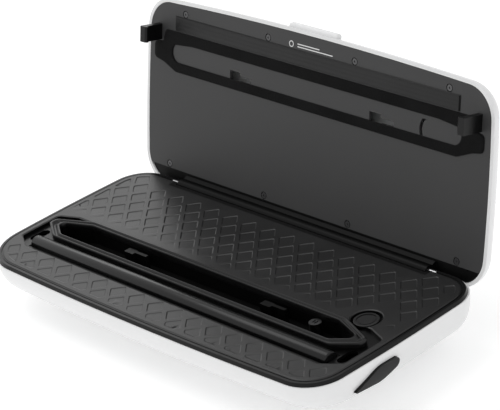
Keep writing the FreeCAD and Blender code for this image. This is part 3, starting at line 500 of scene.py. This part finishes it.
def pocket_depth(p):
    """Shallower near the recess, and towards the front edge."""
    if p.y > RECESS_MID_Y:
        return POCKET_DEPTH * smooth_step(p.y, -88, -72)
    return POCKET_DEPTH * (smooth_step(-p.y, 151, 153) * (1 - 0.45 * smooth_step(-p.y, 155, 177)))


def inside(points, loop):
    """For each row of points, whether it lies inside the loop."""
    x, y = points[:, 0], points[:, 1]
    result = np.zeros(len(points), bool)
    for i, a in enumerate(loop):
        b = loop[i - 1]
        crosses = (a.y > y) != (b.y > y)
        with np.errstate(divide="ignore", invalid="ignore"):
            at = (b.x - a.x) * (y - a.y) / (b.y - a.y) + a.x
        result ^= crosses & (x < at)
    return result


def loop_distance(points, loop):
    """For each row of points, how far it lies from the loop."""
    best = np.full(len(points), 1e9)
    for i, a in enumerate(loop):
        along = np.array(loop[(i + 1) % len(loop)] - a)
        t = np.clip(((points - np.array(a)) @ along) / (along @ along), 0, 1)
        gap = points - np.array(a) - t[:, None] * along
        best = np.minimum(best, np.linalg.norm(gap, axis=1))
    return best


def pattern_rings(recess, edge, well):
    """Loops of the pattern, each with its heights, or None where the border's slope sets them."""
    rings = [(deck_loop(EDGE_IN), DIP)]
    rings += [(deck_loop(EDGE_IN + g), None) for g in EDGE_RINGS]
    rings.append((edge, None))
    rings += [(offset_loop(recess, RECESS_GAP + g), None) for g in EDGE_RINGS]
    rings.append((well, None))
    rings += [([WELL + (p - WELL) * (1 + g / WELL_R) for p in well], None) for g in EDGE_RINGS]
    for rim in pockets():
        for inset, share in POCKET_RINGS:
            loop = offset_loop(rim, -inset)
            rings.append((loop, [RISE - share * pocket_depth(p) for p in loop]))
    return rings


def deck_pattern():
    recess = rounded_loop(both_halves(RECESS_HALF), [RECESS_CORNER] * 8, 6, 3)
    edge = offset_loop(recess, RECESS_GAP)
    turns = [math.tau * k / 60 for k in range(60)]
    well = [WELL + Vector((math.cos(a), math.sin(a))) * (WELL_R + WELL_GAP) for a in turns]
    rings = pattern_rings(recess, edge, well)
    points, heights, edges = [], [], []
    for loop, z in rings:
        start, n = len(points), len(loop)
        points += loop
        heights += z if isinstance(z, list) else [z] * n
        edges += [(start + k, start + (k + 1) % n) for k in range(n)]
    verts, _, faces, origin, _, _ = delaunay_2d_cdt(points, edges, [], 0, 1e-5, True)
    flat = np.array([tuple(v) for v in verts])
    middle = np.array([flat[list(f)].mean(axis=0) for f in faces])
    keep = inside(middle, rings[0][0]) & ~inside(middle, edge) & ~inside(middle, well)
    from_well = np.linalg.norm(flat - np.array(WELL), axis=1) - WELL_R - WELL_GAP
    off = np.minimum(loop_distance(flat, edge), from_well)
    placed = []
    for k, v in enumerate(verts):
        known = [heights[i] for i in origin[k] if heights[i] is not None]
        z = known[0] if known else DIP + (RISE - DIP) * smooth_step(off[k], 0.0, EDGE_SLOPE)
        placed.append(on_base(v.x, v.y, DECK_T + z))
    mesh = bpy.data.meshes.new("deck_pattern")
    mesh.from_pydata(placed, [], [f for f, k in zip(faces, keep) if k])
    edit = bmesh.new()
    edit.from_mesh(mesh)
    bmesh.ops.delete(edit, geom=[v for v in edit.verts if not v.link_faces], context="VERTS")
    bmesh.ops.recalc_face_normals(edit, faces=edit.faces)
    if sum(f.normal.z * f.calc_area() for f in edit.faces) < 0:
        bmesh.ops.reverse_faces(edit, faces=edit.faces)
    edit.to_mesh(mesh)
    edit.free()
    piece("deck_pattern", "base", "deck_plastic", mesh)


# ---------------------------------------------------------------- gasket, bar and foam

GASKET_OUTER = ((162.0, -129.4), (183.0, -115.4), (183.0, -108.6), (148.0, -94.8))
GASKET_INNER = ((157.0, -124.0), (171.0, -114.8), (171.0, -109.2), (145.0, -100.0))
GASKET_R = (9.0, 4.2, 4.2, 9.0)
# Share of the way from the inner loop to the outer one, and height: two lips with a groove between them.
GASKET_PROFILE = ((0.0, 0.0), (0.0, 5.7), (0.06, 6.1), (0.16, 6.2), (0.26, 6.0), (0.34, 4.6), (0.5, 4.2),
                  (0.66, 4.6), (0.74, 6.0), (0.84, 6.2), (0.94, 6.1), (1.0, 5.7), (1.0, 0.0))


def gasket():
    outer = rounded_loop(both_halves(GASKET_OUTER), GASKET_R * 2, 6, 8)
    inner = rounded_loop(both_halves(GASKET_INNER), GASKET_R * 2, 6, 8)
    rows = [[(*i.lerp(o, t), z) for i, o in zip(inner, outer)] for t, z in GASKET_PROFILE]
    mesh = ring_mesh("gasket_ring", rows, on_base)
    made = piece("gasket_ring", "base", "gasket_rubber", mesh)
    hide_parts("chamber_gasket")


FOAM_OUTER = ((174, -131.1), (177.6, -120.4), (188, -118.8), (188, -105.0), (176, -102.6), (161, -96.5))
FOAM_R = (3, 1.5, 4, 4, 5, 8)
FOAM_SPINE_HALF, FOAM_SPINE_Y, FOAM_INNER_R = 156.5, -113.25, 8.55


def foam():
    outer = rounded_loop(both_halves(FOAM_OUTER), FOAM_R + FOAM_R[::-1], 6, 10)
    inner = []
    for p in outer:
        spine = Vector((min(max(p.x, -FOAM_SPINE_HALF), FOAM_SPINE_HALF), FOAM_SPINE_Y))
        inner.append(spine + (p - spine).normalized() * FOAM_INNER_R)
    profile = ((0.0, LID_Z), (0.0, LID_Z - 0.6), (0.05, LID_Z - 0.92), (0.15, LID_Z - 1.0),
               (0.5, LID_Z - 0.97), (0.85, LID_Z - 1.0), (0.95, LID_Z - 0.92), (1.0, LID_Z - 0.6),
               (1.0, LID_Z))
    rows = [[(*i.lerp(o, t), z) for i, o in zip(inner, outer)] for t, z in profile]
    made = piece("foam_ring", "lid", "foam", ring_mesh("foam_ring", rows, on_lid))
    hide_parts("foam_gasket")


BAR_Y, BAR_HALF, BAR_R, BAR_TOP, BAR_LOW = -138.0, 173.5, 6.8, 6.2, -4.8


def seal_bar():
    """Silicone bar with a half-round top and softened ends."""
    section = [(-BAR_R, BAR_LOW), (-BAR_R, BAR_TOP - BAR_R)]
    steps = 18
    for k in range(1, steps):
        a = math.pi * (1 - k / steps)
        section.append((BAR_R * math.cos(a), BAR_TOP - BAR_R + BAR_R * math.sin(a)))
    section += [(BAR_R, BAR_TOP - BAR_R), (BAR_R, BAR_LOW)]
    centre_z = BAR_TOP - BAR_R
    stations = [(-BAR_HALF, 0.86), (-BAR_HALF + 0.35, 0.95), (-BAR_HALF + 1.1, 1.0), (BAR_HALF - 1.1, 1.0),
                (BAR_HALF - 0.35, 0.95), (BAR_HALF, 0.86)]
    points, faces = [], []
    n = len(section)
    for x, share in stations:
        for dy, z in section:
            points.append(on_base(x, BAR_Y + dy * share, max(centre_z + (z - centre_z) * share, BAR_LOW)))
    for i in range(len(stations) - 1):
        for j in range(n):
            m = (j + 1) % n
            faces.append((i * n + j, i * n + m, (i + 1) * n + m, (i + 1) * n + j))
    faces.append(list(range(n)))
    faces.append([(len(stations) - 1) * n + j for j in range(n)])
    mesh = bpy.data.meshes.new("seal_bar_silicone")
    mesh.from_pydata(points, [], faces)
    outward(mesh)
    made = piece("seal_bar_silicone", "base", "bar_silicone", mesh)
    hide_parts("seal_bar")


# ---------------------------------------------------------------- print on the lid plate


MARK_X, MARK_Y = -22, -148
MARK_OUTER, MARK_INNER = 2.6, 1.9
RULES = ((-15, 25, -146.9), (-15, 10, -149.1))  # left end, right end and middle line
RULE_HALF = 0.4


def printed_mark():
    """A ring and two plain rules in light ink: a neutral print with no lettering."""
    low, high = LID_Z - 0.06, LID_Z + 0.02
    turns = [math.tau * k / 40 for k in range(40)]
    ring = [(MARK_X + MARK_OUTER * math.cos(a), MARK_Y + MARK_OUTER * math.sin(a)) for a in turns]
    core = [(MARK_X + MARK_INNER * math.cos(a), MARK_Y + MARK_INNER * math.sin(a)) for a in turns]
    rows = [[(*p, z) for p in loop] for loop, z in ((ring, low), (ring, high), (core, high), (core, low))]
    parts = [ring_mesh("mark", rows, on_lid)]
    for x0, x1, y in RULES:
        corners = [(x0, y - RULE_HALF), (x1, y - RULE_HALF), (x1, y + RULE_HALF), (x0, y + RULE_HALF)]
        outline = rounded_loop(corners, [0.39] * 4, 4, 1)
        n = len(outline)
        points = [on_lid(*p, low) for p in outline] + [on_lid(*p, high) for p in outline]
        faces = [list(range(n)), [n + k for k in range(n)]]
        faces += [(k, (k + 1) % n, n + (k + 1) % n, n + k) for k in range(n)]
        mesh = bpy.data.meshes.new("mark")
        mesh.from_pydata(points, [], faces)
        outward(mesh)
        parts.append(mesh)
    whole = bmesh.new()
    for mesh in parts:
        whole.from_mesh(mesh)
        bpy.data.meshes.remove(mesh)
    mesh = bpy.data.meshes.new("printed_mark")
    whole.to_mesh(mesh)
    whole.free()
    piece("printed_mark", "lid", "print_white", mesh, smooth=False)


make_camera()
MATERIALS = make_materials()
make_stage()
paint_nodes()
deck_pattern()
gasket()
foam()
seal_bar()
printed_mark()
